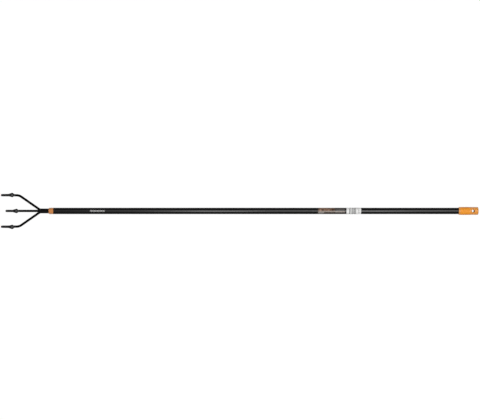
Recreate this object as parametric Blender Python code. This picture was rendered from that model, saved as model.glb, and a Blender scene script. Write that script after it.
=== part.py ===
"""A long handled garden cultivator: three forged tines on a coated steel tube.

Metres, +Z up. The tool lies on its back on the ground with its claws up. X runs
along the shaft, from the tines at -X to the end cap at +X. The origin is on the
ground, under the middle of the tool.

The pieces are modelled about the shaft's axis, with x = 0 at the front face of
the collar, and one empty then lifts and centres them all.
"""

import math

import bmesh
import bpy
from mathutils import Matrix, Vector

# Clearance between pieces that fit together
FIT = 0.0003

# Shaft: a steel tube, shown between the collar and the end cap
TUBE_WALL = 0.0009
TUBE_SHOWN = 1.458

# End cap: a moulded sleeve with a solid end and a hang hole
CAP_WALL = 0.0025
CAP_LENGTH = 0.0707
CAP_SOCKET_DEPTH = 0.042
CAP_END_ROUNDING = 0.0035
CAP_MOUTH_ROUNDING = 0.0012
CAP_LEAD_IN = 0.0005
HANG_HOLE_DIAMETER = 0.0098
HANG_HOLE_FROM_END = 0.0195
HANG_HOLE_RIM = 0.0013

# Collar: a moulded ring with a spigot in the tube
COLLAR_PROUD = 0.0002
COLLAR_LENGTH = 0.0165
COLLAR_NOSE_LENGTH = 0.005
COLLAR_NOSE_DEPTH = 0.0014
COLLAR_SPIGOT = 0.014

# Tines: rods bent cold, with forged tips and straight tangs
ROD_DIAMETER = 0.0085
TANG_LENGTH = 0.06
NECK_LENGTH = 0.0328
SPLAY_LENGTH = 0.0755
TINE_SPACING = 0.0565
TINE_REACH = 0.0613
CENTRE_SET_BACK = 0.0165
CENTRE_DROP_START = 0.022
SPLAY_BEND_RADIUS = 0.015
SHOULDER_BEND_RADIUS = 0.032
CENTRE_BEND_RADIUS = 0.06
CLAW_RADIUS = 0.03
CLAW_TURN = math.radians(130)
SHANK_LENGTH = 0.0372
CENTRE_SHANK_LENGTH = 0.0345
TANG_CHAMFER = 0.0006

# Blade: the forged tip, a bevelled leaf
BLADE_LENGTH = 0.0425
BLADE_WIDTH = 0.0164
BLADE_THICKNESS = 0.005
BLADE_EDGE = 0.0008
BLADE_WIDEST_AT = 0.565
BLADE_ROUNDNESS = 1.35
BLADE_FLAT_SHARE = 0.38
BLADE_FORGED_AT = 0.35
BLADE_POINT_WIDTH = 0.0016
BLADE_POINT_THICKNESS = 0.0012

# Weld beads in the grooves of the neck
WELD_LENGTH = 0.019
WELD_FROM_COLLAR = 0.006
WELD_CROWN = 0.0005
WELD_FILL = 0.9
WELD_END_LENGTH = 0.002
WELD_END_SHAPE = ((0.0, 0.4), (0.25, 0.8), (1.0, 1.0))

# Bush round the rear ends of the tangs. The spigot of the collar has its wall
BUSH_WALL = 0.0006
BUSH_LENGTH = 0.012
BUSH_CHAMFER = 0.0008

# Labels wrapped round the tube, open underneath
LABEL_THICKNESS = 0.0002
LABEL_WRAP = math.radians(310)
DARK_LABEL_LENGTH = 0.1015
DARK_LABEL_FROM_COLLAR = 0.9495
WHITE_LABEL_LENGTH = 0.0528
LABEL_GAP = 0.003

# Facets
TUBE_SIDES = 48
CUTTER_SIDES = 32
ROD_SIDES = 16
BEND_STEP = math.radians(10)
BLADE_SWELL_RINGS = 5
BLADE_TAPER_RINGS = 6
ROD_SMOOTH_BELOW = 1.04 * math.tau / ROD_SIDES

# The three tangs lie in a triangle. The bush goes round them, the tube goes
# round the bush, and the cap goes round the tube
ROD_RADIUS = ROD_DIAMETER / 2
ROD_PITCH = ROD_DIAMETER + FIT
BUNDLE_RADIUS = ROD_PITCH / math.sqrt(3)
GROOVE_RADIUS = BUNDLE_RADIUS / 2
BUSH_RADIUS = BUNDLE_RADIUS + ROD_RADIUS + FIT + BUSH_WALL
TUBE_BORE_RADIUS = BUSH_RADIUS + FIT
TUBE_RADIUS = TUBE_BORE_RADIUS + TUBE_WALL
COLLAR_RADIUS = TUBE_RADIUS + COLLAR_PROUD
CAP_SOCKET_RADIUS = TUBE_RADIUS + FIT
CAP_RADIUS = CAP_SOCKET_RADIUS + CAP_WALL

TUBE_START = COLLAR_LENGTH + FIT
TUBE_END = COLLAR_LENGTH + TUBE_SHOWN + CAP_SOCKET_DEPTH - FIT
CAP_START = COLLAR_LENGTH + TUBE_SHOWN
CAP_END = CAP_START + CAP_LENGTH
SHOULDER_X = -NECK_LENGTH - SPLAY_LENGTH
CLAW_FRONT_X = SHOULDER_X - TINE_REACH
TINE_BACK_Z = ROD_RADIUS - CAP_RADIUS

# Places across and up, with the centre tang on top of the other two
TANG_PLACES = {
    "tine_left": (ROD_PITCH / 2, -GROOVE_RADIUS),
    "tine_centre": (0.0, BUNDLE_RADIUS),
    "tine_right": (-ROD_PITCH / 2, -GROOVE_RADIUS),
}
TINE_PLACES = {
    "tine_left": TINE_SPACING,
    "tine_centre": 0.0,
    "tine_right": -TINE_SPACING,
}
WELD_FACINGS = {
    "weld_left": math.radians(30),
    "weld_right": math.radians(150),
    "weld_under": math.radians(270),
}


def clear_scene():
    for obj in list(bpy.data.objects):
        bpy.data.objects.remove(obj, do_unlink=True)


def coating(name, colour, roughness, metallic=0.0):
    material = bpy.data.materials.new(name)
    material.use_nodes = True
    shader = material.node_tree.nodes["Principled BSDF"]
    shader.inputs["Base Color"].default_value = (*colour, 1.0)
    shader.inputs["Roughness"].default_value = roughness
    shader.inputs["Metallic"].default_value = metallic
    return material


def add_object(name, bm, parent, material=None, sharp=math.radians(35)):
    """A mesh object of this bmesh, its faces turned outwards and shaded smooth."""
    bmesh.ops.recalc_face_normals(bm, faces=bm.faces)
    mesh = bpy.data.meshes.new(name)
    bm.to_mesh(mesh)
    bm.free()
    mesh.shade_smooth()
    mesh.set_sharp_from_angle(angle=sharp)
    if material:
        mesh.materials.append(material)
    obj = bpy.data.objects.new(name, mesh)
    bpy.context.scene.collection.objects.link(obj)
    obj.parent = parent
    return obj


def cut(obj, cutter):
    """Takes the cutter away from the object and hides the cutter."""
    cutter.hide_render = True
    cutter.display_type = "WIRE"
    modifier = obj.modifiers.new(f"cut_{cutter.name}", "BOOLEAN")
    modifier.operation = "DIFFERENCE"
    modifier.solver = "EXACT"
    modifier.object = cutter


def turned(outline, closed=False, sides=TUBE_SIDES):
    """Turns an outline of (x, radius) points about X. An open one ends on the axis."""
    bm = bmesh.new()
    points = [bm.verts.new((x, radius, 0.0)) for x, radius in outline]
    ends = points[1:] + points[:1] if closed else points[1:]
    edges = [bm.edges.new(pair) for pair in zip(points, ends)]
    bmesh.ops.spin(
        bm,
        geom=points + edges,
        cent=(0.0, 0.0, 0.0),
        axis=(1.0, 0.0, 0.0),
        angle=math.tau,
        steps=sides,
        use_merge=True,
    )
    bmesh.ops.remove_doubles(bm, verts=bm.verts, dist=1e-6)
    return bm


def lofted(rings):
    """A closed skin through rings of equal count, with a flat face at each end."""
    bm = bmesh.new()
    loops = [[bm.verts.new(point) for point in ring] for ring in rings]
    for ring, after in zip(loops, loops[1:]):
        for i, point in enumerate(ring):
            j = (i + 1) % len(ring)
            bm.faces.new((point, ring[j], after[j], after[i]))
    bm.faces.new(loops[0])
    bm.faces.new(loops[-1])
    return bm


def quarter_round(centre_x, centre_radius, length, depth, start, end, steps=5):
    """Points of an elliptical quarter from one angle to another, in (x, radius)."""
    angles = [start + (end - start) * i / steps for i in range(steps + 1)]
    return [
        (centre_x + length * math.cos(angle), centre_radius + depth * math.sin(angle))
        for angle in angles
    ]


def bent_path(corners, radii):
    """Stations (point, direction) along straight runs joined by round bends."""
    stations = [(corners[0], (corners[1] - corners[0]).normalized())]
    for before, corner, after, radius in zip(corners, corners[1:], corners[2:], radii):
        arriving = (corner - before).normalized()
        leaving = (after - corner).normalized()
        turn = arriving.angle(leaving)
        start = corner - arriving * radius * math.tan(turn / 2)
        axis = arriving.cross(leaving).normalized()
        centre = start + axis.cross(arriving) * radius
        steps = max(2, round(turn / BEND_STEP))
        for i in range(steps + 1):
            part_turn = Matrix.Rotation(turn * i / steps, 3, axis)
            point = centre + part_turn @ (start - centre)
            stations.append((point, part_turn @ arriving))
    return stations


def section(half_width, half_thickness, flatness=0.0):
    """Points (across, up) of a rod section: round at flatness 0, bevelled at 1."""
    points = []
    for i in range(ROD_SIDES):
        angle = math.tau * i / ROD_SIDES
        side, up = math.cos(angle), math.sin(angle)
        bevel = min(1.0, (1 - abs(side)) / (1 - BLADE_FLAT_SHARE))
        edge = min(BLADE_EDGE / 2, half_thickness)
        height = edge + (half_thickness - edge) * bevel
        forged = math.copysign(height, up) if abs(up) > 1e-6 else 0.0
        rounded = half_thickness * up
        points.append((half_width * side, rounded + (forged - rounded) * flatness))
    return points


def ring_at(station, points):
    """The section points square to the path, with their first axis across, along Y."""
    place, direction = station
    across = Vector((0.0, 1.0, 0.0))
    across = (across - direction * across.dot(direction)).normalized()
    up = direction.cross(across)
    return [place + across * a + up * b for a, b in points]


def smooth(share):
    share = min(1.0, max(0.0, share))
    return share * share * (3 - 2 * share)


def blade_section(share):
    """The blade's section at a share of its length, from the shank to the point."""
    swell = min(1.0, share / BLADE_WIDEST_AT)
    taper = max(0.0, share - BLADE_WIDEST_AT) / (1 - BLADE_WIDEST_AT)
    width = ROD_DIAMETER + (BLADE_WIDTH - ROD_DIAMETER) * swell
    width += (BLADE_POINT_WIDTH - BLADE_WIDTH) * taper**BLADE_ROUNDNESS
    thickness = ROD_DIAMETER + (BLADE_THICKNESS - ROD_DIAMETER) * smooth(swell)
    thickness += (BLADE_POINT_THICKNESS - BLADE_THICKNESS) * taper
    flatness = smooth(share / BLADE_FORGED_AT)
    return section(width / 2, thickness / 2, flatness)


def blade_shares():
    """Shares of the blade's length, with one ring at its widest place."""
    swell = [i / BLADE_SWELL_RINGS for i in range(BLADE_SWELL_RINGS)]
    taper = [i / BLADE_TAPER_RINGS for i in range(BLADE_TAPER_RINGS + 1)]
    shares = [BLADE_WIDEST_AT * share for share in swell]
    return shares + [BLADE_WIDEST_AT + (1 - BLADE_WIDEST_AT) * share for share in taper]


def tine_corners(name):
    """The corners of the rod's path, from the tang's end to the blade's point."""
    tang_y, tang_z = TANG_PLACES[name]
    tine_y = TINE_PLACES[name]
    centre = name == "tine_centre"
    first_bend = -NECK_LENGTH - (CENTRE_DROP_START if centre else 0.0)
    front = CLAW_FRONT_X + (CENTRE_SET_BACK if centre else 0.0)
    claw_start = front + ROD_RADIUS + CLAW_RADIUS
    apex = CLAW_RADIUS * math.tan(CLAW_TURN / 2)
    claw_corner = Vector((claw_start - apex, tine_y, TINE_BACK_Z))
    rising = Vector((-math.cos(CLAW_TURN), 0.0, math.sin(CLAW_TURN)))
    shank = CENTRE_SHANK_LENGTH if centre else SHANK_LENGTH
    return [
        Vector((TANG_LENGTH, tang_y, tang_z)),
        Vector((first_bend, tang_y, tang_z)),
        Vector((SHOULDER_X, tine_y, TINE_BACK_Z)),
        claw_corner,
        claw_corner + rising * (apex + shank + BLADE_LENGTH),
    ]


def make_tine(name, parent, material):
    """One rod: its tang, its bends, its claw and its forged tip."""
    corners = tine_corners(name)
    bends = (SPLAY_BEND_RADIUS, SHOULDER_BEND_RADIUS, CLAW_RADIUS)
    if name == "tine_centre":
        bends = (CENTRE_BEND_RADIUS, CENTRE_BEND_RADIUS, CLAW_RADIUS)
    stations = bent_path(corners, bends)
    tang_end, back = stations[0]
    chamfered = (tang_end + back * TANG_CHAMFER, back)
    tip, rising = corners[-1], stations[-1][1]
    small = ROD_RADIUS - TANG_CHAMFER
    rings = [
        ring_at(stations[0], section(small, small)),
        ring_at(chamfered, section(ROD_RADIUS, ROD_RADIUS)),
    ]
    for station in stations[1:]:
        rings.append(ring_at(station, section(ROD_RADIUS, ROD_RADIUS)))
    for share in blade_shares():
        place = tip - rising * BLADE_LENGTH * (1 - share)
        rings.append(ring_at((place, rising), blade_section(share)))
    return add_object(name, lofted(rings), parent, material, ROD_SMOOTH_BELOW)


def make_shaft_tube(parent, material):
    outline = [
        (TUBE_START, TUBE_BORE_RADIUS),
        (TUBE_START, TUBE_RADIUS),
        (TUBE_END, TUBE_RADIUS),
        (TUBE_END, TUBE_BORE_RADIUS),
    ]
    return add_object("shaft_tube", turned(outline, closed=True), parent, material)


def make_end_cap(parent, material):
    """The cap, from the floor of its socket round the mouth to its end face."""
    outline = [
        (CAP_START + CAP_SOCKET_DEPTH, 0.0),
        (CAP_START + CAP_SOCKET_DEPTH, CAP_SOCKET_RADIUS),
        (CAP_START + CAP_LEAD_IN, CAP_SOCKET_RADIUS),
        (CAP_START, CAP_SOCKET_RADIUS + CAP_LEAD_IN),
    ]
    outline += quarter_round(
        CAP_START + CAP_MOUTH_ROUNDING,
        CAP_RADIUS - CAP_MOUTH_ROUNDING,
        CAP_MOUTH_ROUNDING,
        CAP_MOUTH_ROUNDING,
        math.pi,
        math.pi / 2,
        steps=3,
    )
    outline += quarter_round(
        CAP_END - CAP_END_ROUNDING,
        CAP_RADIUS - CAP_END_ROUNDING,
        CAP_END_ROUNDING,
        CAP_END_ROUNDING,
        math.pi / 2,
        0.0,
    )
    outline.append((CAP_END, 0.0))
    cap = add_object("end_cap", turned(outline), parent, material)
    cut(cap, make_hang_hole_cutter(parent))
    return cap


def make_hang_hole_cutter(parent):
    """A pin across the cap, flared where it leaves it, which rounds the rim."""
    hole = HANG_HOLE_DIAMETER / 2
    flare_start = math.sqrt(CAP_RADIUS**2 - hole**2) - HANG_HOLE_RIM
    past = CAP_RADIUS + HANG_HOLE_RIM
    flare = quarter_round(
        flare_start,
        hole + HANG_HOLE_RIM,
        HANG_HOLE_RIM,
        HANG_HOLE_RIM,
        -math.pi / 2,
        0.0,
        steps=4,
    )
    half = flare + [(past, hole + HANG_HOLE_RIM * 2), (past, 0.0)]
    outline = [(-x, radius) for x, radius in reversed(half)] + half
    cutter = add_object("hang_hole", turned(outline, sides=CUTTER_SIDES), parent)
    cutter.rotation_euler = (0.0, math.pi / 2, 0.0)
    cutter.location = (CAP_END - HANG_HOLE_FROM_END, 0.0, 0.0)
    return cutter


def make_bundle_cutters(parent):
    """The room that the three tangs need, with the core between them."""
    cutters = []
    places = dict(TANG_PLACES, core=(0.0, 0.0))
    for name, (y, z) in places.items():
        radius = GROOVE_RADIUS if name == "core" else ROD_RADIUS + FIT
        ends = (-NECK_LENGTH, TANG_LENGTH + BUSH_LENGTH)
        outline = [(ends[0], 0.0), (ends[0], radius), (ends[1], radius), (ends[1], 0.0)]
        bm = turned(outline, sides=CUTTER_SIDES)
        cutter = add_object(f"room_for_{name}", bm, parent)
        cutter.location = (0.0, y, z)
        cutters.append(cutter)
    return cutters


def make_collar(parent, material, cutters):
    """The ring with its rounded nose, its shoulder on the tube and its spigot."""
    outline = [(0.0, 0.0)]
    outline += quarter_round(
        COLLAR_NOSE_LENGTH,
        COLLAR_RADIUS - COLLAR_NOSE_DEPTH,
        COLLAR_NOSE_LENGTH,
        COLLAR_NOSE_DEPTH,
        math.pi,
        math.pi / 2,
    )
    outline += [
        (COLLAR_LENGTH, COLLAR_RADIUS),
        (COLLAR_LENGTH, BUSH_RADIUS),
        (COLLAR_LENGTH + COLLAR_SPIGOT, BUSH_RADIUS),
        (COLLAR_LENGTH + COLLAR_SPIGOT, 0.0),
    ]
    collar = add_object("collar", turned(outline), parent, material)
    for cutter in cutters:
        cut(collar, cutter)
    return collar


def make_tang_bush(parent, material, cutters):
    """The bush that centres the rear ends of the tangs in the tube."""
    front, rear = TANG_LENGTH - BUSH_LENGTH, TANG_LENGTH
    outline = [
        (front, 0.0),
        (front, BUSH_RADIUS - BUSH_CHAMFER),
        (front + BUSH_CHAMFER, BUSH_RADIUS),
        (rear - BUSH_CHAMFER, BUSH_RADIUS),
        (rear, BUSH_RADIUS - BUSH_CHAMFER),
        (rear, 0.0),
    ]
    bush = add_object("tang_bush", turned(outline), parent, material)
    for cutter in cutters:
        cut(bush, cutter)
    return bush


def weld_section():
    """Points (across, out) of a bead in the groove between two touching rods."""
    clear = ROD_RADIUS + FIT
    lowest = math.sqrt(clear**2 - (ROD_PITCH / 2) ** 2) + FIT / 2
    top = ROD_RADIUS * WELD_FILL
    heights = [lowest + (top - lowest) * i / 4 for i in range(5)]
    right = [(ROD_PITCH / 2 - math.sqrt(clear**2 - h * h), h) for h in heights]
    left = [(-across, h) for across, h in reversed(right)]
    return right + [(0.0, top + WELD_CROWN)] + left


def make_weld_bead(name, facing, parent, material):
    """A bead in the groove that faces this way, with drawn-in ends."""
    outline = weld_section()
    middle = sum(out for _, out in outline) / len(outline)
    rear = -WELD_FROM_COLLAR
    front = rear - WELD_LENGTH
    ends = [(front + WELD_END_LENGTH * share, size) for share, size in WELD_END_SHAPE]
    ends += [(front + rear - x, size) for x, size in reversed(ends)]
    out = Vector((0.0, math.cos(facing), math.sin(facing)))
    across = Vector((0.0, -math.sin(facing), math.cos(facing)))
    rings = []
    for x, size in ends:
        foot = out * (GROOVE_RADIUS + middle) + Vector((x, 0.0, 0.0))
        ring = [foot + (across * a + out * (b - middle)) * size for a, b in outline]
        rings.append(ring)
    return add_object(name, lofted(rings), parent, material)


def make_label(name, start, length, parent, material):
    """A strip wrapped round the tube, open along the underside."""
    inner = TUBE_RADIUS + FIT
    outer = inner + LABEL_THICKNESS
    steps = round(TUBE_SIDES * LABEL_WRAP / math.tau)
    rings = []
    for i in range(steps + 1):
        angle = math.pi / 2 + LABEL_WRAP * (i / steps - 0.5)
        out = Vector((0.0, math.cos(angle), math.sin(angle)))
        corners = ((0.0, inner), (0.0, outer), (length, outer), (length, inner))
        rings.append([Vector((start + x, 0.0, 0.0)) + out * r for x, r in corners])
    return add_object(name, lofted(rings), parent, material)


def make_cultivator():
    clear_scene()
    tool = bpy.data.objects.new("cultivator", None)
    bpy.context.scene.collection.objects.link(tool)
    tool.location = (-(CLAW_FRONT_X + CAP_END) / 2, 0.0, CAP_RADIUS)

    black = coating("black_tube_coating", (0.013, 0.013, 0.014), 0.38)
    forged = coating("black_tine_paint", (0.01, 0.01, 0.011), 0.42)
    orange = coating("orange_moulding", (0.86, 0.27, 0.035), 0.42)
    bush_grey = coating("grey_moulding", (0.25, 0.25, 0.25), 0.6)
    dark_film = coating("dark_film", (0.03, 0.028, 0.028), 0.35)
    white_paper = coating("white_paper", (0.8, 0.8, 0.8), 0.7)

    for name in TINE_PLACES:
        make_tine(name, tool, forged)
    for name, facing in WELD_FACINGS.items():
        make_weld_bead(name, facing, tool, forged)
    cutters = make_bundle_cutters(tool)
    make_collar(tool, orange, cutters)
    make_tang_bush(tool, bush_grey, cutters)
    make_shaft_tube(tool, black)
    make_end_cap(tool, orange)
    dark_start = COLLAR_LENGTH + DARK_LABEL_FROM_COLLAR
    make_label("dark_label", dark_start, DARK_LABEL_LENGTH, tool, dark_film)
    white_start = dark_start + DARK_LABEL_LENGTH + LABEL_GAP
    make_label("white_label", white_start, WHITE_LABEL_LENGTH, tool, white_paper)


make_cultivator()
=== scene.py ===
"""The looks of the garden cultivator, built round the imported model.

Metres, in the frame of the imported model: X runs along the shaft from the tines
to the end cap, +Z is up, and the tool lies on the floor at z = 0.

Every piece that shows is a finer mesh than its solid, with the same sizes. The
pieces are modelled about the shaft's axis, with x = 0 at the front face of the
collar, and then moved to HEAD, which is where that point is in the model.
"""

import math

import bmesh
import bpy
from mathutils import Matrix, Vector, noise


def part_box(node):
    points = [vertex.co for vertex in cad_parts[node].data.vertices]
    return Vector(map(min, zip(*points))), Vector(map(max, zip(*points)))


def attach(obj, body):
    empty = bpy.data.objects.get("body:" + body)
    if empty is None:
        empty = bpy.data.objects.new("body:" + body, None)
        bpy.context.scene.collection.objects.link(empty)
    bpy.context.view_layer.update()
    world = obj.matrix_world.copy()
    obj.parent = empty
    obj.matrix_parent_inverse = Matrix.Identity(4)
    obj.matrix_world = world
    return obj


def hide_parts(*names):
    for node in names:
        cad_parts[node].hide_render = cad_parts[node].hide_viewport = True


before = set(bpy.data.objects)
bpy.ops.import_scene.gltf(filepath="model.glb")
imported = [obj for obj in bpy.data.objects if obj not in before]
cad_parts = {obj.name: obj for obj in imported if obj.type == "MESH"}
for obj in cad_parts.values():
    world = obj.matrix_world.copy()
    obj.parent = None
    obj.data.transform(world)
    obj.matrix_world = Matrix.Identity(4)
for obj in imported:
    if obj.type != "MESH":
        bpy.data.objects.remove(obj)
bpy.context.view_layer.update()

TUBE_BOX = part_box("shaft_tube")
COLLAR_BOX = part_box("collar")
CAP_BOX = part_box("end_cap")
HEAD = Vector((COLLAR_BOX[0].x, 0.0, (TUBE_BOX[0].z + TUBE_BOX[1].z) / 2))

# Sizes of the solids
FIT = 0.0003
TUBE_RADIUS = (TUBE_BOX[1].z - TUBE_BOX[0].z) / 2
TUBE_WALL = 0.0009
TUBE_CHAMFER = 0.0003
TUBE_START = TUBE_BOX[0].x - HEAD.x
TUBE_END = TUBE_BOX[1].x - HEAD.x
CAP_RADIUS = (CAP_BOX[1].z - CAP_BOX[0].z) / 2
CAP_START = CAP_BOX[0].x - HEAD.x
CAP_END = CAP_BOX[1].x - HEAD.x
CAP_SOCKET_DEPTH = 0.042
CAP_END_ROUNDING = 0.0035
CAP_MOUTH_ROUNDING = 0.0012
CAP_LEAD_IN = 0.0005
HANG_HOLE_RADIUS = 0.0049
HANG_HOLE_FROM_END = 0.0195
HANG_HOLE_RIM = 0.0013
COLLAR_RADIUS = (COLLAR_BOX[1].z - COLLAR_BOX[0].z) / 2
COLLAR_LENGTH = 0.0165
COLLAR_NOSE_LENGTH = 0.005
COLLAR_NOSE_DEPTH = 0.0014
COLLAR_EDGE_ROUNDING = 0.0004
COLLAR_SPIGOT = 0.014
ROD_RADIUS = 0.00425
ROD_PITCH = 2 * ROD_RADIUS + FIT
BUNDLE_RADIUS = ROD_PITCH / math.sqrt(3)
GROOVE_RADIUS = BUNDLE_RADIUS / 2
TANG_LENGTH = 0.06
TANG_CHAMFER = 0.0006
NECK_LENGTH = 0.0328
SPLAY_LENGTH = 0.0755
TINE_SPACING = 0.0565
TINE_REACH = 0.0613
CENTRE_SET_BACK = 0.0165
CENTRE_DROP_START = 0.022
SPLAY_BEND_RADIUS = 0.015
SHOULDER_BEND_RADIUS = 0.032
CENTRE_BEND_RADIUS = 0.06
CLAW_RADIUS = 0.03
CLAW_TURN = math.radians(130)
SHANK_LENGTH = 0.0372
CENTRE_SHANK_LENGTH = 0.0345
BLADE_LENGTH = 0.0425
BLADE_WIDTH = 0.0164
BLADE_THICKNESS = 0.005
BLADE_EDGE = 0.0008
BLADE_WIDEST_AT = 0.565
BLADE_ROUNDNESS = 1.35
BLADE_FLAT_SHARE = 0.38
BLADE_FORGED_AT = 0.35
BLADE_POINT_WIDTH = 0.0016
BLADE_POINT_THICKNESS = 0.0012
WELD_LENGTH = 0.019
WELD_FROM_COLLAR = 0.006
WELD_CROWN = 0.0005
WELD_FILL = 0.9
DARK_LABEL_START = 0.966
DARK_LABEL_LENGTH = 0.1015
WHITE_LABEL_START = 1.0705
WHITE_LABEL_LENGTH = 0.0528
LABEL_WRAP = math.radians(310)

# Where the rods run: (y, z) of each tang, y of each claw, and the node of each rod
SHOULDER_X = -NECK_LENGTH - SPLAY_LENGTH
CLAW_FRONT_X = SHOULDER_X - TINE_REACH
TINE_BACK_Z = ROD_RADIUS - CAP_RADIUS
TANG_PLACES = {
    "left_tine": (ROD_PITCH / 2, -GROOVE_RADIUS),
    "centre_tine": (0.0, BUNDLE_RADIUS),
    "right_tine": (-ROD_PITCH / 2, -GROOVE_RADIUS),
}
TINE_PLACES = {
    "left_tine": TINE_SPACING,
    "centre_tine": 0.0,
    "right_tine": -TINE_SPACING,
}
TINE_NODES = {
    "left_tine": "tine_left",
    "centre_tine": "tine_centre",
    "right_tine": "tine_right",
}
# The node of each weld, and the way it faces, in degrees from +Y towards +Z
WELDS = {
    "left_weld": ("weld_left", 30.0),
    "right_weld": ("weld_right", 150.0),
    "under_weld": ("weld_under", 270.0),
}

# Facets of the finer meshes
TURNED_SIDES = 128
PIN_SIDES = 64
ARC_STEPS = 10
EDGE_STEPS = 4
BEND_STEP = math.radians(4)
CAP_RING_PITCH = 0.0012
BLADE_RINGS = 52
WELD_RINGS = 96
WELD_SIDES = 16
LABEL_STEPS = 96
LABEL_CORNER_STEPS = 8
# Places across a rod, as shares of its half width. They are close together at
# the edge of the blade and at the corner between its flat and its bevel
RING_SHARES = (1, 0.985, 0.95, 0.88, 0.78, 0.66, 0.54, 0.42, 0.38, 0.34, 0.22, 0.11, 0)
# Edges that turn by more than this, in degrees, stay sharp
SHARP_EDGE = 35.0
TINE_SHARP_EDGE = 50.0
WELD_SHARP_EDGE = 70.0
# Points closer together than this become one
MERGE_DISTANCE = 1e-6

# Forging of the tips: their rounded edge and corner, their dents, and their flats, which
# turn lighter as worn bare steel and as a painted highlight
BLADE_RIM_START = 0.95
BLADE_CORNER_SOFTNESS = 0.12
DENT_DEPTH = 0.00012
DENT_SCALE = 260.0
FINE_DENT_SCALE = 610.0
FINE_DENT_SHARE = 0.5
DENT_BIAS = 0.6
WEAR_AND_SHEEN_START = 0.3
WEAR_AND_SHEEN_GROWTH = 3
WEAR_AND_SHEEN_FADE = 0.12

# The weld beads: foot and root in the groove, ends, crown, wander and ripples
WELD_FOOT = 0.35
WELD_ROOT_WIDTH = 0.6
WELD_ROOT_HEIGHT = 0.8
WELD_END_SWELL = 0.2
WELD_END_BLUNTNESS = 0.25
WELD_END_NARROWING = 0.25
WELD_BLUNTNESS = 0.55
WELD_BODY_CROWN = 0.55
WELD_RIPPLE_CROWN = 0.42
WELD_WANDER = 0.00012
WELD_WANDER_SCALE = 300.0
RIPPLE_PITCH = 0.0019
RIPPLE_BOW = 0.45
RIPPLE_LEAN = 0.7

# How close the finer pieces lie to each other
SNUG = 0.00005

# The stickers' thickness, and the radius of their corners
LABEL_THICKNESS = 0.0001
LABEL_CORNER = 0.003

# A row of plain white bars on the tube, near the head
PRINT_START = -0.5383
PRINT_PITCH = 0.0052
PRINT_BARS = 10
PRINT_BAR_SHARE = 0.52
PRINT_HEIGHT = 0.0053

# The cap's grained stretch, from its mouth and from its end, and its soft limits
CAP_GRAIN_FROM_MOUTH = 0.006
CAP_GRAIN_FROM_END = 0.0315
GRAIN_FADE = 0.0015
# The painted shade on the hang hole's wall reaches this far past its radius
BORE_MARGIN = 0.0003

# Between these values of Layer Weight's Facing a clear coat fades
COAT_FADE = (0.05, 0.32)
# Most of a noise lies between these values
NOISE_MIDDLE = (0.3, 0.7)

# The stickers' print, as boxes (low u, high u, low v, high v): u runs from the start
# of the sticker and v from its top line. A dash or tile is (length, height), and
# the joint beside a tile is a share of it
MOSAIC_BOX = (0.004, 0.062, -0.0005, 0.017)
MOSAIC_TILE = (0.0074, 0.0058)
MOSAIC_JOINT = (0.07, 0.09)
FIELD_BOX = (0.064, 0.099, -0.0078, 0.0078)
FIELD_UPPER_ROWS = (0.066, 0.097, 0.002, 0.0072)
FIELD_LOWER_ROWS = (0.066, 0.097, -0.0074, -0.0046)
SIDE_ROWS = (0.027, 0.061, -0.0139, -0.0052)
# A pale printed band along the sticker, where the highlight runs; it is partly a painted
# highlight
BAND_AND_HIGHLIGHT_BOX = (0.003, 0.099, -0.0042, -0.0012)
BLOCK_BOX = (0.003, 0.0235, -0.0095, -0.0052)
DARK_DASH = (0.0011, 0.0026)
BARS_BOX = (0.0105, 0.0345, -0.0125, 0.0085)
BAR_PITCH = 0.00045
# The one row of chances that the bars are drawn from
BAR_ROW = 3.0
BAR_CHANCE = 0.48
LINES_BOX = (0.0105, 0.0345, -0.0205, -0.0135)
LINES_DASH = (0.0009, 0.0026)
HEADING_BOX = (0.0105, 0.0345, 0.0095, 0.018)
HEADING_DASH = (0.0014, 0.0034)
SPOT_BOX = (0.0425, 0.0465, -0.012, 0.008)
SPOT_DASH = (0.0011, 0.002)
# The shares of the dashes that are left out, and of a row that is the gap below it
DASH_CHANCE = 0.25
DASH_GAP = 0.5

# The white floor, whose far rim curves up into a low wall
FLOOR_RADIUS = 9.0
FLOOR_FILLET = 2.0
FLOOR_WALL = 4.0
FLOOR_SIDES = 64
FLOOR_FILLET_STEPS = 8
FLOOR_GREY = 0.36
FLOOR_GLOW = 1.32
FLOOR_GLOW_SHARE = 0.72

# The row of softboxes above the tool: start, end, place across, width and brightness
OVERHEAD_HEIGHT = 1.6
OVERHEAD = (
    (-1.5, -0.7, 0.05, 1.6, 0.45),
    (-0.7, -0.42, 0.05, 1.6, 0.95),
    (-0.42, -0.25, -0.17, 1.5, 2.0),
    (-0.25, 0.05, -0.27, 1.45, 4.0),
    (0.05, 0.45, 0.0, 1.5, 2.0),
    (0.45, 0.75, -0.25, 1.5, 3.8),
    (0.75, 1.0, 0.0, 1.5, 2.4),
    (1.0, 1.3, 0.1, 1.4, 2.1),
)
# The softboxes past the tool's two ends: name, place along, aim along and brightness
PAST_ENDS = (("past_cap", 3.4, 0.2, 1.7), ("past_head", -3.4, -0.2, 2.6))
PAST_END_HEIGHT = 2.6
PAST_END_SIZE = (2.4, 2.0)
WORLD_BRIGHTNESS = 0.05

# The camera's place and reach, and its lens and sensor in millimetres
CAMERA_PLACE = (0.0001, 0.0034, 5.4137)
CAMERA_LENS = 112.5
CAMERA_SENSOR = 36.0
CAMERA_REACH = 100.0


def as_object(name, bm):
    """A smooth shaded object of this bmesh, in the scene."""
    mesh = bpy.data.meshes.new(name)
    bm.to_mesh(mesh)
    bm.free()
    mesh.shade_smooth()
    obj = bpy.data.objects.new(name, mesh)
    bpy.context.scene.collection.objects.link(obj)
    return obj


def placed(name, bm, sharp=SHARP_EDGE):
    """An object of this bmesh, moved to its place in the model."""
    bmesh.ops.recalc_face_normals(bm, faces=bm.faces)
    bmesh.ops.translate(bm, verts=bm.verts, vec=HEAD)
    obj = as_object(name, bm)
    obj.data.set_sharp_from_angle(angle=math.radians(sharp))
    return obj


def dress(obj, node, material):
    """Lets the object stand for a node, with this finish."""
    obj.data.materials.clear()
    obj.data.materials.append(material)
    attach(obj, "root")
    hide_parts(node)


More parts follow.
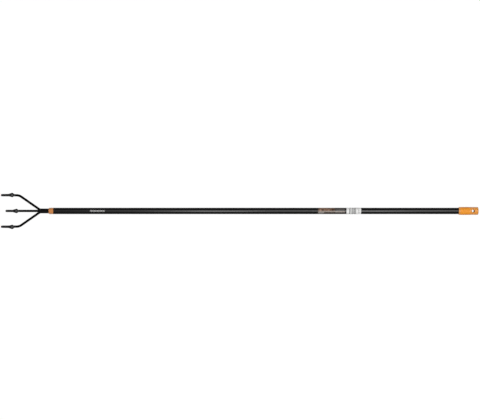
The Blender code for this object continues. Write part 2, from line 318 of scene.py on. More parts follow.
def spun(points, axis, sides, closed=False):
    """Turns a line of points about an axis through the origin."""
    bm = bmesh.new()
    verts = [bm.verts.new(point) for point in points]
    ends = verts[1:] + verts[:1] if closed else verts[1:]
    edges = [bm.edges.new(pair) for pair in zip(verts, ends)]
    bmesh.ops.spin(
        bm,
        geom=verts + edges,
        cent=(0.0, 0.0, 0.0),
        axis=axis,
        angle=math.tau,
        steps=sides,
        use_merge=True,
    )
    bmesh.ops.remove_doubles(bm, verts=bm.verts, dist=MERGE_DISTANCE)
    return bm


def turned(outline, closed=False, sides=TURNED_SIDES):
    """Turns an outline of (x, radius) points about X. An open one ends on the axis."""
    points = [(x, radius, 0.0) for x, radius in outline]
    return spun(points, (1.0, 0.0, 0.0), sides, closed)


def lofted(rings):
    """A closed skin through rings of equal count, with a flat face at each end."""
    bm = bmesh.new()
    loops = [[bm.verts.new(point) for point in ring] for ring in rings]
    for ring, after in zip(loops, loops[1:]):
        for i, point in enumerate(ring):
            j = (i + 1) % len(ring)
            bm.faces.new((point, ring[j], after[j], after[i]))
    bm.faces.new(loops[0])
    bm.faces.new(loops[-1])
    return bm


def arc(centre_x, centre_radius, length, depth, start, end, steps=ARC_STEPS):
    """Points of an elliptical arc from one angle in degrees to another."""
    points = []
    for i in range(steps + 1):
        angle = math.radians(start + (end - start) * i / steps)
        across = centre_x + length * math.cos(angle)
        points.append((across, centre_radius + depth * math.sin(angle)))
    return points


def without(obj, cutters):
    """The object with the cutters' room taken out of its mesh."""
    for cutter in cutters:
        modifier = obj.modifiers.new("room", "BOOLEAN")
        modifier.operation = "DIFFERENCE"
        modifier.solver = "EXACT"
        modifier.object = cutter
    graph = bpy.context.evaluated_depsgraph_get()
    mesh = bpy.data.meshes.new_from_object(obj.evaluated_get(graph))
    obj.modifiers.clear()
    obj.data = mesh
    mesh.shade_smooth()
    mesh.set_sharp_from_angle(angle=math.radians(SHARP_EDGE))
    for cutter in cutters:
        bpy.data.objects.remove(cutter)
    return obj


def smooth(share):
    """Eases a share in and out, and holds it between 0 and 1."""
    share = min(1.0, max(0.0, share))
    return share * share * (3 - 2 * share)


def bent_path(corners, radii):
    """Stations (point, direction) along straight runs joined by round bends."""
    stations = [(corners[0], (corners[1] - corners[0]).normalized())]
    for before, corner, after, radius in zip(corners, corners[1:], corners[2:], radii):
        arriving = (corner - before).normalized()
        leaving = (after - corner).normalized()
        turn = arriving.angle(leaving)
        start = corner - arriving * radius * math.tan(turn / 2)
        axis = arriving.cross(leaving).normalized()
        centre = start + axis.cross(arriving) * radius
        steps = max(3, round(turn / BEND_STEP))
        for i in range(steps + 1):
            part_turn = Matrix.Rotation(turn * i / steps, 3, axis)
            point = centre + part_turn @ (start - centre)
            stations.append((point, part_turn @ arriving))
    return stations


def bevel_height(share, half_thickness):
    """Height of the forged section at a share of its half width."""
    edge = min(BLADE_EDGE / 2, half_thickness)
    bevel = (1 - share) / (1 - BLADE_FLAT_SHARE)
    soft = BLADE_CORNER_SOFTNESS
    if bevel > 1 + soft:
        bevel = 1.0
    elif bevel > 1 - soft:
        bevel = 1 - (1 + soft - bevel) ** 2 / (4 * soft)
    past_rim = max(0.0, share - BLADE_RIM_START) / (1 - BLADE_RIM_START)
    rim = math.sqrt(max(0.0, 1 - past_rim**2))
    return (edge + (half_thickness - edge) * bevel) * rim


def section(half_width, half_thickness, flatness=0.0):
    """Points (across, up) of a rod section: round at flatness 0, bevelled at 1."""
    quarter = [(share, math.sqrt(1 - share * share)) for share in RING_SHARES]
    upper = quarter + [(-share, up) for share, up in reversed(quarter[:-1])]
    around = upper + [(share, -up) for share, up in reversed(upper[1:-1])]
    points = []
    for side, up in around:
        rounded = half_thickness * up
        forged = math.copysign(bevel_height(abs(side), half_thickness), up)
        points.append((half_width * side, rounded + (forged - rounded) * flatness))
    return points


def ring_at(station, points):
    """The section points square to the path, with their first axis across, along Y."""
    place, direction = station
    across = Vector((0.0, 1.0, 0.0))
    across = (across - direction * across.dot(direction)).normalized()
    up = direction.cross(across)
    return [place + across * a + up * b for a, b in points]


def blade_section(share):
    """The blade's section at a share of its length, from the shank to the point."""
    swell = min(1.0, share / BLADE_WIDEST_AT)
    taper = max(0.0, share - BLADE_WIDEST_AT) / (1 - BLADE_WIDEST_AT)
    rod = 2 * ROD_RADIUS
    width = rod + (BLADE_WIDTH - rod) * swell
    width += (BLADE_POINT_WIDTH - BLADE_WIDTH) * taper**BLADE_ROUNDNESS
    thickness = rod + (BLADE_THICKNESS - rod) * smooth(swell)
    thickness += (BLADE_POINT_THICKNESS - BLADE_THICKNESS) * taper
    return section(width / 2, thickness / 2, smooth(share / BLADE_FORGED_AT))


def tine_corners(name):
    """The corners of the rod's path, from the tang's end to the blade's point."""
    tang_y, tang_z = TANG_PLACES[name]
    tine_y = TINE_PLACES[name]
    centre = name == "centre_tine"
    first_bend = -NECK_LENGTH - (CENTRE_DROP_START if centre else 0.0)
    front = CLAW_FRONT_X + (CENTRE_SET_BACK if centre else 0.0)
    claw_start = front + ROD_RADIUS + CLAW_RADIUS
    apex = CLAW_RADIUS * math.tan(CLAW_TURN / 2)
    claw_corner = Vector((claw_start - apex, tine_y, TINE_BACK_Z))
    rising = Vector((-math.cos(CLAW_TURN), 0.0, math.sin(CLAW_TURN)))
    shank = CENTRE_SHANK_LENGTH if centre else SHANK_LENGTH
    return [
        Vector((TANG_LENGTH, tang_y, tang_z)),
        Vector((first_bend, tang_y, tang_z)),
        Vector((SHOULDER_X, tine_y, TINE_BACK_Z)),
        claw_corner,
        claw_corner + rising * (apex + shank + BLADE_LENGTH),
    ]


def hammered(ring, middle, depth):
    """The ring with shallow dents, as forging leaves them."""
    dented = []
    for point in ring:
        out = (point - middle).normalized()
        dent = noise.noise(point * DENT_SCALE)
        dent += FINE_DENT_SHARE * noise.noise(point * FINE_DENT_SCALE)
        dented.append(point + out * (depth * (dent - DENT_BIAS)))
    return dented


def flat_share(across, half):
    """1 on the flat in the middle of the blade, falling to 0 just past its corners."""
    past_flat = abs(across) / half - BLADE_FLAT_SHARE
    return 1 - smooth((past_flat + WEAR_AND_SHEEN_FADE / 2) / WEAR_AND_SHEEN_FADE)


def make_tine(name, material):
    """One rod: its tang, its bends, its claw and its forged tip."""
    corners = tine_corners(name)
    bends = (SPLAY_BEND_RADIUS, SHOULDER_BEND_RADIUS, CLAW_RADIUS)
    if name == "centre_tine":
        bends = (CENTRE_BEND_RADIUS, CENTRE_BEND_RADIUS, CLAW_RADIUS)
    stations = bent_path(corners, bends)
    tang_end, back = stations[0]
    small = ROD_RADIUS - TANG_CHAMFER
    rings = [ring_at(stations[0], section(small, small))]
    stations[0] = (tang_end + back * TANG_CHAMFER, back)
    for station in stations:
        rings.append(ring_at(station, section(ROD_RADIUS, ROD_RADIUS)))
    wear_and_sheen = [0.0] * (len(rings) * len(rings[0]))
    tip, rising = corners[-1], stations[-1][1]
    for i in range(BLADE_RINGS + 1):
        share = i / BLADE_RINGS
        place = tip - rising * BLADE_LENGTH * (1 - share)
        ring = ring_at((place, rising), blade_section(share))
        depth = DENT_DEPTH * smooth(share / BLADE_FORGED_AT) * (1 - share)
        rings.append(hammered(ring, place, depth))
        half = max(abs(point.y - place.y) for point in ring)
        # The flats grow lighter towards the point: worn bare steel, and partly a painted
        # highlight where the flats would catch the light
        worn_and_sheen = smooth((share - WEAR_AND_SHEEN_START) * WEAR_AND_SHEEN_GROWTH)
        wear_and_sheen += [worn_and_sheen * flat_share(point.y - place.y, half) for point in ring]
    bm = lofted(rings)
    layer = bm.verts.layers.float.new("wear_and_sheen")
    for vert, amount in zip(bm.verts, wear_and_sheen):
        vert[layer] = amount
    dress(placed(name, bm, TINE_SHARP_EDGE), TINE_NODES[name], material)


def ripple(turns):
    """Height of a run of weld ripples, each rising slowly and dropping quickly."""
    part = turns % 1.0
    return math.sin(math.pi * part**RIPPLE_LEAN)


def make_weld(name, material):
    """A bead in a groove of the neck, laid down in ripples."""
    node, facing = WELDS[name]
    facing = math.radians(facing)
    out = Vector((0.0, math.cos(facing), math.sin(facing)))
    across = Vector((0.0, -math.sin(facing), math.cos(facing)))
    top = ROD_RADIUS * WELD_FILL
    half = ROD_PITCH / 2 - math.sqrt(ROD_RADIUS**2 - top**2)
    foot = top * WELD_FOOT
    body = top - foot + WELD_CROWN * WELD_BODY_CROWN
    root_side, root_height = half * WELD_ROOT_WIDTH, foot * WELD_ROOT_HEIGHT
    rings = []
    for i in range(WELD_RINGS + 1):
        along = i / WELD_RINGS
        x = -WELD_FROM_COLLAR - WELD_LENGTH * along
        swell = WELD_END_SWELL
        if 0 < i < WELD_RINGS:
            swell = math.sin(math.pi * along) ** WELD_END_BLUNTNESS
        width = 1 - WELD_END_NARROWING * (1 - swell)
        wander = WELD_WANDER * noise.noise(Vector((x * WELD_WANDER_SCALE, facing, 0.0)))
        ring = []
        for j in range(WELD_SIDES + 1):
            side = 1 - 2 * j / WELD_SIDES
            round_top = math.sqrt(max(0.0, 1 - side * side))
            beads = ripple(x / RIPPLE_PITCH + RIPPLE_BOW * side * side)
            height = foot + body * round_top**WELD_BLUNTNESS * swell
            height += WELD_CROWN * WELD_RIPPLE_CROWN * beads * round_top * swell
            ring.append((half * side * width + wander, height))
        ring += [(-root_side, root_height), (root_side, root_height)]
        base = out * GROOVE_RADIUS + Vector((x, 0.0, 0.0))
        rings.append([base + across * a + out * b for a, b in ring])
    dress(placed(name, lofted(rings), WELD_SHARP_EDGE), node, material)


def make_tube(material):
    """The thin walled tube, with a small chamfer at each edge of its ends."""
    bore, chamfer = TUBE_RADIUS - TUBE_WALL, TUBE_CHAMFER
    outline = [
        (TUBE_START, bore + chamfer),
        (TUBE_START, TUBE_RADIUS - chamfer),
        (TUBE_START + chamfer, TUBE_RADIUS),
        (TUBE_END - chamfer, TUBE_RADIUS),
        (TUBE_END, TUBE_RADIUS - chamfer),
        (TUBE_END, bore + chamfer),
        (TUBE_END - chamfer, bore),
        (TUBE_START + chamfer, bore),
    ]
    tube = placed("coated_tube", turned(outline, closed=True))
    dress(tube, "shaft_tube", material)


def make_hang_hole_pin():
    """A pin across the cap, flared where it leaves it, which rounds the rim."""
    hole, rim = HANG_HOLE_RADIUS, HANG_HOLE_RIM
    flare_start = math.sqrt(CAP_RADIUS**2 - hole**2) - rim
    past = CAP_RADIUS + rim
    half = arc(flare_start, hole + rim, rim, rim, -90, 0)
    half += [(past, hole + 2 * rim), (past, 0.0)]
    outline = [(-x, radius) for x, radius in reversed(half)] + half
    bm = turned(outline, sides=PIN_SIDES)
    bmesh.ops.rotate(bm, verts=bm.verts, matrix=Matrix.Rotation(math.pi / 2, 3, "Y"))
    bmesh.ops.translate(bm, verts=bm.verts, vec=(CAP_END - HANG_HOLE_FROM_END, 0, 0))
    return placed("hang_hole_pin", bm)


def make_cap(material):
    """The cap, from the floor of its socket round the mouth to its end face."""
    socket = TUBE_RADIUS + SNUG
    mouth, end = CAP_MOUTH_ROUNDING, CAP_END_ROUNDING
    outline = [
        (CAP_START + CAP_SOCKET_DEPTH, 0.0),
        (CAP_START + CAP_SOCKET_DEPTH, socket),
        (CAP_START + CAP_LEAD_IN, socket),
        (CAP_START, socket + CAP_LEAD_IN),
    ]
    outline += arc(CAP_START + mouth, CAP_RADIUS - mouth, mouth, mouth, 180, 90)
    first, last = CAP_START + mouth, CAP_END - end
    rings = int((last - first) / CAP_RING_PITCH)
    outline += [(first + (last - first) * i / rings, CAP_RADIUS) for i in range(1, rings)]
    outline += arc(last, CAP_RADIUS - end, end, end, 90, 0)
    outline.append((CAP_END, 0.0))
    cap = without(placed("moulded_end_cap", turned(outline)), [make_hang_hole_pin()])
    dress(cap, "end_cap", material)


def make_bundle_pins():
    """The room that the three tangs take in the collar, with the core between them."""
    pins = []
    places = dict(TANG_PLACES, core=(0.0, 0.0))
    for name, (y, z) in places.items():
        radius = GROOVE_RADIUS if name == "core" else ROD_RADIUS + SNUG
        ends = (-NECK_LENGTH, TANG_LENGTH)
        outline = [(ends[0], 0.0), (ends[0], radius), (ends[1], radius), (ends[1], 0.0)]
        bm = turned(outline, sides=PIN_SIDES)
        bmesh.ops.translate(bm, verts=bm.verts, vec=(0.0, y, z))
        pins.append(placed(f"pin_{name}", bm))
    return pins


def make_collar(material):
    """The ring with its rounded nose, its shoulder on the tube and its spigot."""
    spigot = TUBE_RADIUS - TUBE_WALL - FIT
    edge = COLLAR_EDGE_ROUNDING
    nose, depth = COLLAR_NOSE_LENGTH, COLLAR_NOSE_DEPTH
    outline = [(0.0, 0.0)]
    outline += arc(nose, COLLAR_RADIUS - depth, nose, depth, 180, 90)
    outline += arc(COLLAR_LENGTH - edge, COLLAR_RADIUS - edge, edge, edge, 90, 0, EDGE_STEPS)
    outline += [
        (COLLAR_LENGTH, spigot),
        (COLLAR_LENGTH + COLLAR_SPIGOT, spigot),
        (COLLAR_LENGTH + COLLAR_SPIGOT, 0.0),
    ]
    collar = without(placed("moulded_collar", turned(outline)), make_bundle_pins())
    dress(collar, "collar", material)


def label_places(half_wrap):
    """Places round the tube from the sticker's top line, closest at its corners."""
    turns = [math.pi / 2 * i / LABEL_CORNER_STEPS for i in range(LABEL_CORNER_STEPS)]
    corner = [-half_wrap + LABEL_CORNER * (1 - math.cos(turn)) for turn in turns]
    plain = half_wrap - LABEL_CORNER
    middle = [-plain + 2 * plain * i / LABEL_STEPS for i in range(LABEL_STEPS + 1)]
    return corner + middle + [-place for place in reversed(corner)]


def make_label(name, node, start, length, slot, material):
    """A thin sticker round the tube, with rounded corners underneath."""
    inner = TUBE_RADIUS + SNUG / 2
    outer = inner + LABEL_THICKNESS
    half_wrap = outer * LABEL_WRAP / 2
    rings, spots = [], []
    for place in label_places(half_wrap):
        into = max(0.0, LABEL_CORNER - (half_wrap - abs(place)))
        inset = LABEL_CORNER - math.sqrt(max(0.0, LABEL_CORNER**2 - into**2))
        angle = math.pi / 2 - place / outer
        out = Vector((0.0, math.cos(angle), math.sin(angle)))
        low, high = start + inset, start + length - inset
        corners = ((low, inner), (low, outer), (high, outer), (high, inner))
        rings.append([Vector((x, 0.0, 0.0)) + out * radius for x, radius in corners])
        spots += [(x - start, place) for x, _ in corners]
    bm = lofted(rings)
    bm.verts.index_update()
    layer = bm.loops.layers.uv.new("print")
    for face in bm.faces:
        for loop in face.loops:
            loop[layer].uv = spots[loop.vert.index]
    dress(placed(name, bm), node, material)


class Finish:
    """A material, with short ways to add nodes to it and to join them."""

    def __init__(self, name, **numbers):
        self.material = bpy.data.materials.new(name)
        self.material.use_nodes = True
        self.tree = self.material.node_tree
        self.shader = self.tree.nodes["Principled BSDF"]
        for socket, value in numbers.items():
            self.shader.inputs[socket.replace("_", " ")].default_value = value
        coordinates = self.tree.nodes.new("ShaderNodeTexCoord")
        self.place = coordinates.outputs["Object"]

    def feed(self, socket, value):
        """Links an output to a socket, or sets the socket to a number or colour."""
        if isinstance(value, bpy.types.NodeSocket):
            self.tree.links.new(value, socket)
        else:
            socket.default_value = value

    def set(self, socket, value):
        """Feeds a socket of the shader."""
        self.feed(self.shader.inputs[socket], value)

    def math(self, operation, *values):
        """The outcome of one operation on these values."""
        node = self.tree.nodes.new("ShaderNodeMath")
        node.operation = operation
        for socket, value in zip(node.inputs, values):
            self.feed(socket, value)
        return node.outputs[0]

    def times(self, first, *others):
        """The product of all the values."""
        for value in others:
            first = self.math("MULTIPLY", first, value)
        return first

    def parts(self, vector):
        """The x, y and z of a vector."""
        node = self.tree.nodes.new("ShaderNodeSeparateXYZ")
        self.feed(node.inputs[0], vector)
        return node.outputs

    def stretched(self, scale):
        """The place on the object, scaled along each axis."""
        node = self.tree.nodes.new("ShaderNodeVectorMath")
        node.operation = "MULTIPLY"
        self.feed(node.inputs[0], self.place)
        node.inputs[1].default_value = scale
        return node.outputs[0]

    def noise(self, scale, detail=2.0, vector=None):
        """A noise of this scale, at the place on the object unless a vector is given."""
        node = self.tree.nodes.new("ShaderNodeTexNoise")
        self.feed(node.inputs["Vector"], vector or self.place)
        node.inputs["Scale"].default_value = scale
        node.inputs["Detail"].default_value = detail
        return node.outputs["Fac"]

    def span(self, value, low, high, to_low=0.0, to_high=1.0):
        """Maps low..high to to_low..to_high and holds it there."""
        node = self.tree.nodes.new("ShaderNodeMapRange")
        for key, number in zip(range(5), (value, low, high, to_low, to_high)):
            self.feed(node.inputs[key], number)
        return node.outputs[0]

    def uneven(self, value, low, high):
        """Spreads the middle of a noise over low..high."""
        return self.span(value, *NOISE_MIDDLE, low, high)

    def mix(self, share, first, second):
        """A colour between two. The node's colours are its inputs 6 and 7."""
        node = self.tree.nodes.new("ShaderNodeMix")
        node.data_type = "RGBA"
        for key, value in ((0, share), (6, first), (7, second)):
            if isinstance(value, tuple):
                value = (*value, 1.0)
            self.feed(node.inputs[key], value)
        return node.outputs[2]

    def inside(self, value, low, high):
        """1 between low and high and 0 outside."""
        above = self.math("GREATER_THAN", value, low)
        below = self.math("LESS_THAN", value, high)
        return self.times(above, below)

    def fading_coat(self, weight, least):
        """A clear coat that fades towards the edges of a round piece."""
        facing = self.tree.nodes.new("ShaderNodeLayerWeight").outputs["Facing"]
        self.set("Coat Weight", self.span(facing, *COAT_FADE, weight, least))

    def block(self, u, v, box):
        """1 inside the box (low u, high u, low v, high v) and 0 outside."""
        across = self.inside(u, box[0], box[1])
        along = self.inside(v, box[2], box[3])
        return self.times(across, along)

    def cells(self, u, v, pitch):
        """A number from 0 to 1 for each cell of a grid, in no order."""
        node = self.tree.nodes.new("ShaderNodeCombineXYZ")
        for socket, value, size in zip(node.inputs, (u, v), pitch):
            self.feed(socket, self.math("FLOOR", self.math("DIVIDE", value, size)))
        chance = self.tree.nodes.new("ShaderNodeTexWhiteNoise")
        chance.noise_dimensions = "2D"
        self.feed(chance.inputs["Vector"], node.outputs[0])
        return chance.outputs["Value"]

    def gaps(self, value, pitch, share):
        """1 in the first part of each pitch, which is this share of it."""
        part = self.math("FRACT", self.math("DIVIDE", value, pitch))
        return self.math("LESS_THAN", part, share)

    def dashes(self, u, v, box, pitch):
        """Rows of plain dashes of uneven length inside the box."""
        dash = self.math("GREATER_THAN", self.cells(u, v, pitch), DASH_CHANCE)
        row = self.math("SUBTRACT", 1.0, self.gaps(v, pitch[1], DASH_GAP))
        return self.times(dash, row, self.block(u, v, box))

    def bump(self, *layers):
        """Raises the surface and its coat by each (height, distance in metres)."""
        normal = None
        for height, distance in layers:
            node = self.tree.nodes.new("ShaderNodeBump")
            node.inputs["Distance"].default_value = distance
            self.feed(node.inputs["Height"], height)
            if normal:
                self.feed(node.inputs["Normal"], normal)
            normal = node.outputs[0]
        self.set("Normal", normal)
        self.set("Coat Normal", normal)


def white_bars(finish):
    """1 on the row of bars along the top of the tube, and 0 outside."""
    x, y, z = finish.parts(finish.place)
    along = finish.math("SUBTRACT", x, PRINT_START)
    in_row = finish.inside(along, 0.0, PRINT_BARS * PRINT_PITCH)
    to_bar = finish.math("PINGPONG", along, PRINT_PITCH / 2)
    in_bar = finish.math("LESS_THAN", to_bar, PRINT_PITCH / 2 * PRINT_BAR_SHARE)
    near = finish.math("LESS_THAN", finish.math("ABSOLUTE", y), PRINT_HEIGHT / 2)
    on_top = finish.math("GREATER_THAN", z, HEAD.z)
    return finish.times(in_row, in_bar, near, on_top)


def tube_coating():
    """Satin black powder coat, with its peel, faint rub marks and a row of bars."""
    finish = Finish("tube_coating", Coat_Roughness=0.13, Specular_IOR_Level=0.0)
    finish.fading_coat(1.0, 0.25)
    peel = finish.noise(900.0)
    patches = finish.noise(45.0, 4.0)
    rubs = finish.noise(1.0, 4.0, finish.stretched((9.0, 700.0, 700.0)))
    rubs = finish.span(rubs, 0.6, 0.72)
    ink = white_bars(finish)
    black = finish.mix(patches, (0.002, 0.002, 0.0022), (0.004, 0.004, 0.0043))
    worn_and_sheen = finish.mix(finish.times(rubs, 0.35), black, (0.02, 0.02, 0.021))
    finish.set("Base Color", finish.mix(ink, worn_and_sheen, (0.7, 0.7, 0.69)))
    rough = finish.uneven(patches, 0.3, 0.37)
    finish.set("Roughness", finish.math("ADD", rough, finish.times(rubs, 0.08)))
    finish.bump((peel, 0.00005), (ink, 0.00003))
    return finish.material


def tine_paint():
    """Black stoved paint over drawn and forged steel. The flats of the tips are lighter:
    worn to bare steel, and partly a painted highlight.
    """
    finish = Finish("tine_paint", Specular_IOR_Level=0.07)
    scale = finish.noise(420.0, 4.0)
    grain = finish.noise(1700.0)
    patches = finish.noise(80.0, 4.0)
    speck = finish.span(finish.noise(1300.0, 3.0), 0.68, 0.74)
    black = finish.mix(patches, (0.0012, 0.0012, 0.0013), (0.0025, 0.0025, 0.0027))
    black = finish.mix(finish.times(speck, 0.3), black, (0.03, 0.029, 0.028))
    # The lighter grey of the flats: bare steel, and partly a painted highlight
    bare_steel_and_sheen = finish.mix(scale, (0.09, 0.09, 0.091), (0.17, 0.17, 0.171))
    wear_and_sheen = finish.tree.nodes.new("ShaderNodeAttribute")
    wear_and_sheen.attribute_name = "wear_and_sheen"
    patchy = finish.math("ADD", wear_and_sheen.outputs["Fac"], finish.uneven(patches, -0.3, 0.1))
    finish.set("Base Color", finish.mix(finish.span(patchy, 0.2, 0.8), black, bare_steel_and_sheen))
    finish.set("Roughness", finish.uneven(scale, 0.42, 0.58))
    finish.bump((scale, 0.00012), (grain, 0.00003))
    return finish.material


def orange_noises(finish):
    """The fine grain of the orange plastic, and the streaks of its flow along X."""
    grain = finish.noise(2600.0)
    return grain, finish.noise(1.0, 3.0, finish.stretched((60.0, 240.0, 240.0)))


def cap_orange():
    """Orange plastic: a spark eroded grain between polished ends, tinted paler partly as
    painted sheen, and painted shade in the hang hole.
    """
    finish = Finish("cap_orange")
    grain, flow = orange_noises(finish)
    x, y, _ = finish.parts(finish.place)
    start = HEAD.x + CAP_START + CAP_GRAIN_FROM_MOUTH
    end = HEAD.x + CAP_END - CAP_GRAIN_FROM_END
    rising = finish.span(x, start, start + GRAIN_FADE)
    falling = finish.span(x, end - GRAIN_FADE, end, 1.0, 0.0)
    matte = finish.times(rising, falling)
    # Painted shade: the wall of the hang hole is coloured dark, as if in shadow
    away = finish.math("SUBTRACT", x, HEAD.x + CAP_END - HANG_HOLE_FROM_END)
    squares = finish.math("MULTIPLY_ADD", away, away, finish.times(y, y))
    bored = finish.math("LESS_THAN", squares, (HANG_HOLE_RADIUS + BORE_MARGIN) ** 2)
    tone = finish.math("MULTIPLY_ADD", flow, 0.3, finish.times(matte, 0.7))
    # The polished mouth and end get a paler tint, which is partly a painted sheen
    body = finish.mix(finish.span(tone, 0.1, 0.85), (0.9, 0.355, 0.06), (0.98, 0.35, 0.02))
    painted_bore_shade = finish.times(bored, 0.95)
    finish.set("Base Color", finish.mix(painted_bore_shade, body, (0.08, 0.018, 0.001)))
    dull = finish.math("MAXIMUM", matte, bored)
    polish = finish.uneven(flow, 0.14, 0.2)
    finish.set("Roughness", finish.math("MULTIPLY_ADD", dull, 0.42, polish))
    finish.bump((grain, 0.00004), (flow, 0.00003))
    return finish.material


def collar_orange():
    """Orange plastic, polished all over, in a darker tone than the cap's that is painted
    shade.
    """
    finish = Finish("collar_orange")
    grain, flow = orange_noises(finish)
    tone = finish.span(finish.times(flow, 0.3), 0.1, 0.85)
    # Painted shade: the collar is the cap's plastic, coloured darker
    finish.set("Base Color", finish.mix(tone, (0.75, 0.295, 0.085), (0.78, 0.305, 0.085)))
    finish.set("Roughness", finish.uneven(flow, 0.14, 0.2))
    finish.bump((grain, 0.00004), (flow, 0.00003))
    return finish.material


def inner_moulding():
    """Grey moulded plastic, as moulded."""
    finish = Finish("inner_moulding")
    flow = finish.noise(1.0, 3.0, finish.stretched((300.0, 90.0, 90.0)))
    finish.set("Base Color", finish.mix(flow, (0.2, 0.2, 0.2), (0.3, 0.3, 0.3)))
    finish.set("Roughness", finish.uneven(flow, 0.5, 0.65))
    finish.bump((finish.noise(2400.0), 0.00004))
    return finish.material


def label_print(finish):
    """Distances along and across the sticker, in metres, from its start and its top."""
    node = finish.tree.nodes.new("ShaderNodeUVMap")
    node.uv_map = "print"
    u, v, _ = finish.parts(node.outputs[0])
    return u, v


def dark_film():
    """A dark film sticker: a brown mosaic, a pale band that is partly a painted highlight, a
    plain block and rows of dashes.
    """
    finish = Finish("dark_film", Coat_Roughness=0.12, Specular_IOR_Level=0.1)
    finish.fading_coat(0.7, 0.2)
    u, v = label_print(finish)
    clouds = finish.noise(260.0, 4.0)
    lines = [finish.gaps(*line) for line in zip((u, v), MOSAIC_TILE, MOSAIC_JOINT)]
    joints = finish.math("MAXIMUM", *lines)
    chance = finish.cells(u, v, MOSAIC_TILE)
    tiles = finish.mix(chance, (0.06, 0.028, 0.016), (0.34, 0.205, 0.135))
    mosaic = finish.mix(joints, tiles, (0.06, 0.034, 0.022))
    grey = finish.mix(clouds, (0.045, 0.042, 0.04), (0.1, 0.095, 0.09))
    colour = finish.mix(clouds, (0.018, 0.013, 0.01), (0.032, 0.022, 0.016))
    layers = (
        (finish.block(u, v, MOSAIC_BOX), mosaic),
        (finish.block(u, v, FIELD_BOX), grey),
        (finish.dashes(u, v, FIELD_UPPER_ROWS, DARK_DASH), (0.16, 0.14, 0.13)),
        (finish.dashes(u, v, FIELD_LOWER_ROWS, DARK_DASH), (0.22, 0.21, 0.2)),
        (finish.dashes(u, v, SIDE_ROWS, DARK_DASH), (0.045, 0.035, 0.028)),
        (finish.block(u, v, BAND_AND_HIGHLIGHT_BOX), (0.36, 0.3, 0.26)),
        (finish.block(u, v, BLOCK_BOX), (0.35, 0.32, 0.3)),
    )
    for share, ink in layers:
        colour = finish.mix(share, colour, ink)
    finish.set("Base Color", colour)
    finish.set("Roughness", finish.uneven(finish.noise(120.0, 3.0), 0.24, 0.34))
    finish.bump((finish.noise(700.0), 0.00002))
    return finish.material


def white_paper():
    """A white paper sticker with plain bars and rows of dashes."""
    finish = Finish("white_paper")
    u, v = label_print(finish)
    fibre = finish.noise(1500.0, 4.0)
    colour = finish.mix(fibre, (0.83, 0.83, 0.82), (0.91, 0.91, 0.9))
    chance = finish.cells(u, BAR_ROW, (BAR_PITCH, 1.0))
    bars = finish.math("GREATER_THAN", chance, BAR_CHANCE)
    layers = (
        (finish.times(bars, finish.block(u, v, BARS_BOX)), 0.06),
        (finish.dashes(u, v, LINES_BOX, LINES_DASH), 0.12),
        (finish.dashes(u, v, HEADING_BOX, HEADING_DASH), 0.1),
        (finish.dashes(u, v, SPOT_BOX, SPOT_DASH), 0.3),
    )
    for share, ink in layers:
        colour = finish.mix(share, colour, (ink, ink, ink))
    finish.set("Base Color", colour)
    finish.set("Roughness", finish.uneven(fibre, 0.55, 0.7))
    finish.bump((fibre, 0.00003))
    return finish.material


def make_pieces():
    """Every piece that shows, and the finish of the bush inside the tube."""
    coating, paint = tube_coating(), tine_paint()
    cap_plastic, collar_plastic = cap_orange(), collar_orange()
    for tine in TINE_PLACES:
        make_tine(tine, paint)
    for weld in WELDS:
        make_weld(weld, paint)
    make_tube(coating)
    make_cap(cap_plastic)
    make_collar(collar_plastic)
    dark = (DARK_LABEL_START, DARK_LABEL_LENGTH, "dark_film", dark_film())
    make_label("dark_sticker", "dark_label", *dark)
    white = (WHITE_LABEL_START, WHITE_LABEL_LENGTH, "white_paper", white_paper())
    make_label("white_sticker", "white_label", *white)
    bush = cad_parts["tang_bush"]
    bush.data.materials.clear()
    bush.data.materials.append(inner_moulding())


def make_stage():
    """A white floor whose far rim curves up into a low wall."""
    outline = [(0.0, 0.0, 0.0)]
    for i in range(FLOOR_FILLET_STEPS + 1):
        angle = math.pi / 2 * i / FLOOR_FILLET_STEPS
        radius = FLOOR_RADIUS + FLOOR_FILLET * math.sin(angle)
        outline.append((radius, 0.0, FLOOR_FILLET * (1 - math.cos(angle))))
    outline.append((FLOOR_RADIUS + FLOOR_FILLET, 0.0, FLOOR_WALL))
    floor = as_object("floor", spun(outline, (0.0, 0.0, 1.0), FLOOR_SIDES))
    floor.data.materials.append(white_ground())


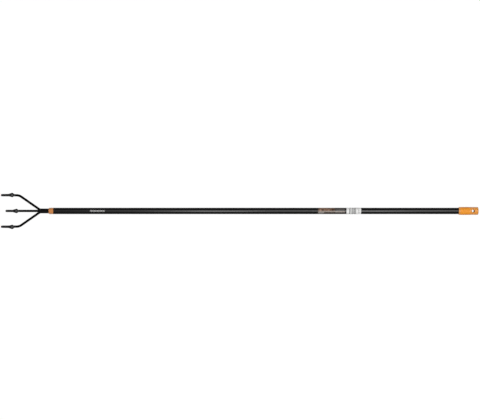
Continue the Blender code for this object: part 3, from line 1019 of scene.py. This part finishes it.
def white_ground():
    """Shows white to the camera and in reflections, a little darker in the shade."""
    material = bpy.data.materials.new("white_ground")
    material.use_nodes = True
    tree = material.node_tree
    tree.nodes.clear()
    output = tree.nodes.new("ShaderNodeOutputMaterial")
    lit = tree.nodes.new("ShaderNodeBsdfDiffuse")
    lit.inputs["Color"].default_value = (FLOOR_GREY, FLOOR_GREY, FLOOR_GREY, 1.0)
    white = tree.nodes.new("ShaderNodeEmission")
    white.inputs["Strength"].default_value = FLOOR_GLOW
    path = tree.nodes.new("ShaderNodeLightPath")
    seen = path.outputs["Is Camera Ray"]
    for ray in ("Is Glossy Ray", "Is Transmission Ray"):
        add = tree.nodes.new("ShaderNodeMath")
        add.operation = "ADD"
        add.use_clamp = True
        tree.links.new(seen, add.inputs[0])
        tree.links.new(path.outputs[ray], add.inputs[1])
        seen = add.outputs[0]
    share = tree.nodes.new("ShaderNodeMath")
    share.operation = "MULTIPLY"
    tree.links.new(seen, share.inputs[0])
    share.inputs[1].default_value = FLOOR_GLOW_SHARE
    both = tree.nodes.new("ShaderNodeMixShader")
    tree.links.new(share.outputs[0], both.inputs[0])
    tree.links.new(lit.outputs[0], both.inputs[1])
    tree.links.new(white.outputs[0], both.inputs[2])
    tree.links.new(both.outputs[0], output.inputs["Surface"])
    return material


def softbox(name, place, aim, size, radiance):
    """A soft area light. Its power follows from how bright its face looks."""
    data = bpy.data.lights.new(name, "AREA")
    data.shape = "RECTANGLE"
    data.size, data.size_y = size
    data.energy = radiance * math.pi * size[0] * size[1]
    light = bpy.data.objects.new(name, data)
    light.location = place
    light.rotation_euler = (Vector(aim) - Vector(place)).to_track_quat("-Z", "Y").to_euler()
    light.visible_camera = False
    bpy.context.scene.collection.objects.link(light)


def make_lights():
    """The softboxes above the tool and past its ends, and a faint white world."""
    for start, end, across, width, radiance in OVERHEAD:
        middle = (start + end) / 2
        place, aim = (middle, across, OVERHEAD_HEIGHT), (middle, across, 0.0)
        softbox("overhead", place, aim, (end - start, width), radiance)
    for name, along, aim_along, radiance in PAST_ENDS:
        place, aim = (along, 0.0, PAST_END_HEIGHT), (aim_along, 0.0, 0.0)
        softbox(name, place, aim, PAST_END_SIZE, radiance)
    world = bpy.data.worlds.new("studio")
    world.use_nodes = True
    background = world.node_tree.nodes["Background"]
    background.inputs["Color"].default_value = (1.0, 1.0, 1.0, 1.0)
    background.inputs["Strength"].default_value = WORLD_BRIGHTNESS
    bpy.context.scene.world = world


def make_camera():
    """Straight above the tool, as the photograph was taken."""
    data = bpy.data.cameras.new("camera")
    data.lens, data.sensor_width = CAMERA_LENS, CAMERA_SENSOR
    data.clip_end = CAMERA_REACH
    camera = bpy.data.objects.new("camera", data)
    camera.location = CAMERA_PLACE
    bpy.context.scene.collection.objects.link(camera)
    bpy.context.scene.camera = camera
    bpy.context.scene.view_settings.view_transform = "Standard"


make_pieces()
make_stage()
make_lights()
make_camera()

bpy.context.view_layer.update()
